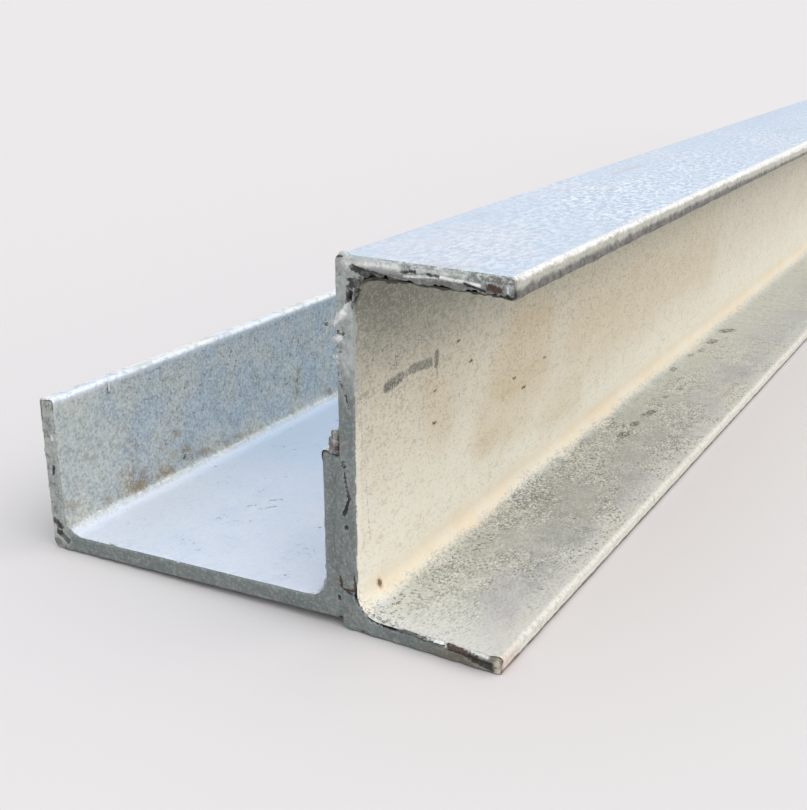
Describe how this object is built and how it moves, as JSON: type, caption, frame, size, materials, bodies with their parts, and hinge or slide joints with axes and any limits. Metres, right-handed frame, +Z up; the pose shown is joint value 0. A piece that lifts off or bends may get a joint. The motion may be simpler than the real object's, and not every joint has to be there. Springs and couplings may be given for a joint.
{
  "type": "welded steel channel corner post",
  "caption": "Galvanised steel corner post: two like rolled channels welded flange to web, with a trough to the side and one above.",
  "frame": {"origin": "centre of the bounding box's bottom face, on the floor that the post lies on", "axes": "+Y along the post, +Z up, +X along the upright channel's flanges, towards its toes"},
  "size_m": [0.1477, 1.2, 0.1],
  "materials": {
    "galvanised_steel": "hot-dip galvanised: matt to satin zinc, mottled, with runs, drips and light rust staining",
    "galvanised_weld": "weld metal under zinc, rough, with rust at its pits"
  },
  "bodies": {
    "root": {"upright_channel": "galvanised_steel", "flat_channel": "galvanised_steel", "toe_weld_1": "galvanised_weld", "toe_weld_2": "galvanised_weld", "toe_weld_3": "galvanised_weld", "toe_weld_4": "galvanised_weld", "toe_weld_5": "galvanised_weld", "heel_weld_1": "galvanised_weld", "heel_weld_2": "galvanised_weld", "heel_weld_3": "galvanised_weld", "heel_weld_4": "galvanised_weld", "near_end_weld": "galvanised_weld", "far_end_weld": "galvanised_weld"}
  },
  "joints": []
}
